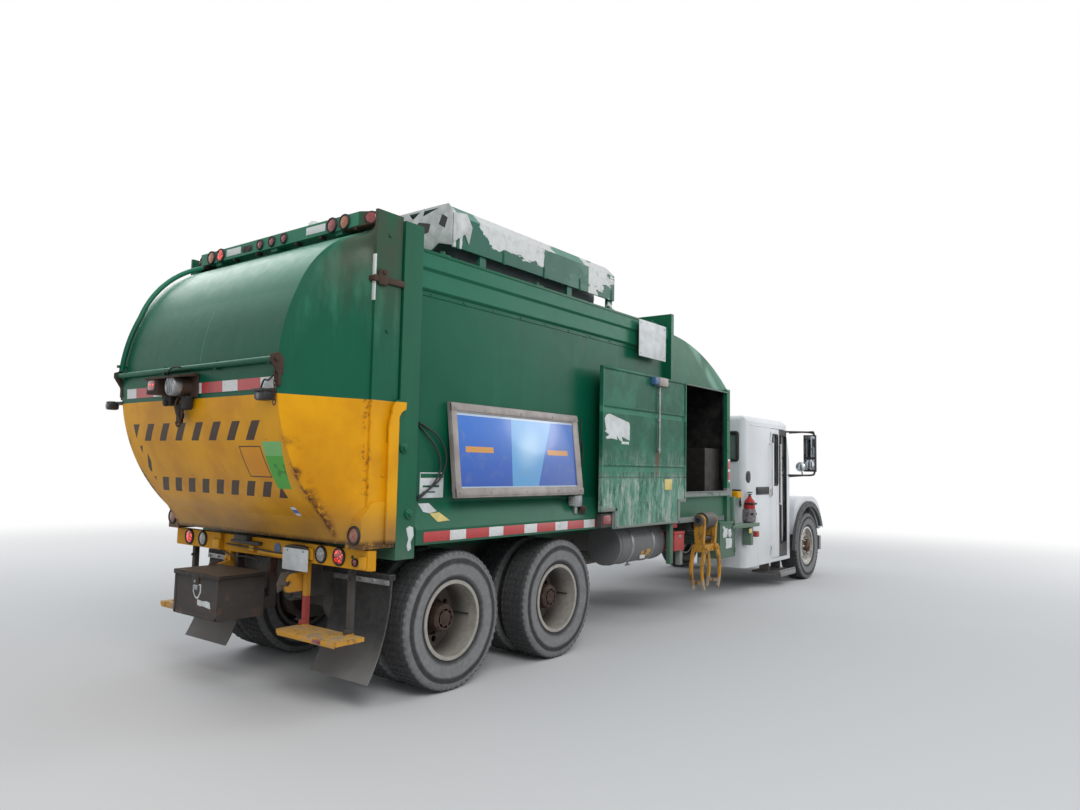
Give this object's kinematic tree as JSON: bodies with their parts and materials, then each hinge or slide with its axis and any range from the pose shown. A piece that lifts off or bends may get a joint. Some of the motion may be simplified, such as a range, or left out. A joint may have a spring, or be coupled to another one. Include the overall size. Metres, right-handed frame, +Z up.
{
  "type": "side-loading garbage truck",
  "caption": "Three-axle refuse truck with a hooded cab, a side-loading hopper with a lifting arm, and a bulging tailgate that lifts.",
  "frame": {"origin": "on the ground, under the middle of the whole truck", "axes": "+X towards the front bumper, +Y to the left, +Z up"},
  "size_m": [10.7078, 2.92, 3.87],
  "materials": {
    "frame_black": "dusty black chassis paint",
    "tyre": "dusty worn rubber",
    "rear_rim": "dusty off-white paint",
    "front_rim": "polished, stained",
    "green": "weathered gloss green",
    "yellow": "worn gloss yellow",
    "cab_white": "gloss white",
    "glass": "dark tinted",
    "trim": "matt black",
    "cab_inside": "matt grey",
    "bare_metal": "dull galvanised",
    "alloy": "satin",
    "lens": "clear lenses",
    "flap": "dusty black rubber",
    "axle": "dirty cast iron",
    "tank": "grey paint, dusty",
    "fender_trim": "faded black",
    "ram_steel": "scoured, dark"
  },
  "bodies": {
    "chassis": {"frame_rails": "frame_black", "axles": "axle", "suspension": "frame_black", "drivetrain": "axle", "side_tanks": "tank", "body_shell": "green", "rear_frame": "green", "hopper_shell": "green", "guard_panel": "green", "side_sign": "alloy", "roof_tanks": "tank", "tank_cover": "green", "rear_bumper": "yellow", "tail_lamps": "lens", "toolbox": "frame_black", "mud_flaps": "flap", "arm_track": "frame_black", "valve_box": "green", "cab_shell": "cab_white", "cab_floor": "frame_black", "cab_glass": "glass", "cab_interior": "cab_inside", "mirrors": "trim", "front_bumper": "bare_metal"},
    "steer_left": {"knuckle_left": "axle"},
    "front_wheel_left": {"front_tyre_left": "tyre", "front_rim_left": "front_rim"},
    "rear_wheels_left": {"rear_tyres_left": "tyre", "rear_rims_left": "rear_rim"},
    "middle_wheels_left": {"middle_tyres_left": "tyre", "middle_rims_left": "rear_rim"},
    "steer_right": {"knuckle_right": "axle"},
    "front_wheel_right": {"front_tyre_right": "tyre", "front_rim_right": "front_rim"},
    "rear_wheels_right": {"rear_tyres_right": "tyre", "rear_rims_right": "rear_rim"},
    "middle_wheels_right": {"middle_tyres_right": "tyre", "middle_rims_right": "rear_rim"},
    "tilt_hood": {"hood": "cab_white", "fender_flares": "fender_trim", "grille": "alloy", "headlamps": "lens"},
    "cab_door": {"door_left": "cab_white", "door_left_glass": "glass"},
    "fold_rear": {"leaf_rear": "cab_white", "leaf_rear_glass": "glass"},
    "fold_front": {"leaf_front": "trim", "leaf_front_glass": "glass"},
    "tailgate": {"tailgate_shell": "green", "tailgate_rod": "trim", "gate_lamps": "lens", "work_lamp": "frame_black"},
    "packer": {"packer_ram": "ram_steel"},
    "box_lid": {"toolbox_lid": "frame_black"},
    "arm_slide": {"arm_boom": "frame_black"},
    "arm_lift": {"lift_arm": "yellow"},
    "claw_rear": {"finger_rear": "yellow"},
    "claw_front": {"finger_front": "yellow"}
  },
  "joints": [
    {"name": "steer_left", "type": "hinge", "parent": "chassis", "child": "steer_left", "pos_m": [4.49, 0.88, 0.525], "axis": [0, 0, 1], "range_deg": [-35, 35]},
    {"name": "front_wheel_left_spin", "type": "hinge", "parent": "steer_left", "child": "front_wheel_left", "pos_m": [4.49, 1.06, 0.525], "axis": [0, 1, 0], "continuous": true},
    {"name": "rear_wheels_left_spin", "type": "hinge", "parent": "chassis", "child": "rear_wheels_left", "pos_m": [-3.68, 0.91, 0.525], "axis": [0, 1, 0], "continuous": true},
    {"name": "middle_wheels_left_spin", "type": "hinge", "parent": "chassis", "child": "middle_wheels_left", "pos_m": [-2.32, 0.91, 0.525], "axis": [0, 1, 0], "continuous": true},
    {"name": "steer_right", "type": "hinge", "parent": "chassis", "child": "steer_right", "pos_m": [4.49, -0.88, 0.525], "axis": [0, 0, 1], "range_deg": [-35, 35]},
    {"name": "front_wheel_right_spin", "type": "hinge", "parent": "steer_right", "child": "front_wheel_right", "pos_m": [4.49, -1.06, 0.525], "axis": [0, 1, 0], "continuous": true},
    {"name": "rear_wheels_right_spin", "type": "hinge", "parent": "chassis", "child": "rear_wheels_right", "pos_m": [-3.68, -0.91, 0.525], "axis": [0, 1, 0], "continuous": true},
    {"name": "middle_wheels_right_spin", "type": "hinge", "parent": "chassis", "child": "middle_wheels_right", "pos_m": [-2.32, -0.91, 0.525], "axis": [0, 1, 0], "continuous": true},
    {"name": "hood_tilt", "type": "hinge", "parent": "chassis", "child": "tilt_hood", "pos_m": [5.17, 0, 0.7], "axis": [0, 1, 0], "range_deg": [0, 62]},
    {"name": "cab_door_swing", "type": "hinge", "parent": "chassis", "child": "cab_door", "pos_m": [3.683, 1.1605, 1.6], "axis": [0, 0, -1], "range_deg": [0, 70]},
    {"name": "fold_door", "type": "hinge", "parent": "chassis", "child": "fold_rear", "pos_m": [3.017, -1.1605, 1.4], "axis": [0, 0, -1], "range_deg": [0, 80]},
    {"name": "fold_door_front", "type": "hinge", "parent": "fold_rear", "child": "fold_front", "pos_m": [3.35, -1.1045, 1.4], "axis": [0, 0, 1], "range_deg": [0, 160]},
    {"name": "tailgate_lift", "type": "hinge", "parent": "chassis", "child": "tailgate", "pos_m": [-4.375, 0, 3.5], "axis": [0, 1, 0], "range_deg": [0, 85]},
    {"name": "packer_push", "type": "slide", "parent": "chassis", "child": "packer", "axis": [-1, 0, 0], "range_m": [0, 1.2]},
    {"name": "box_lid_lift", "type": "hinge", "parent": "chassis", "child": "box_lid", "pos_m": [-4.63, 0.12, 0.868], "axis": [0, 1, 0], "range_deg": [0, 55]},
    {"name": "arm_reach", "type": "slide", "parent": "chassis", "child": "arm_slide", "axis": [0, -1, 0], "range_m": [0, 1.5]},
    {"name": "arm_lift", "type": "hinge", "parent": "arm_slide", "child": "arm_lift", "pos_m": [0.45, -1.33, 1.11], "axis": [-1, 0, 0], "range_deg": [0, 165]},
    {"name": "claw_rear_grip", "type": "hinge", "parent": "arm_lift", "child": "claw_rear", "pos_m": [0.3, -1.33, 0.79], "axis": [0, -1, 0], "range_deg": [-25, 15]},
    {"name": "claw_front_grip", "type": "hinge", "parent": "arm_lift", "child": "claw_front", "pos_m": [0.6, -1.33, 0.79], "axis": [0, 1, 0], "range_deg": [-25, 15]}
  ],
  "couplings": [
    {"joint": "steer_right", "follows": "steer_left", "ratio": 1},
    {"joint": "fold_door_front", "follows": "fold_door", "ratio": 2},
    {"joint": "claw_front_grip", "follows": "claw_rear_grip", "ratio": 1}
  ]
}
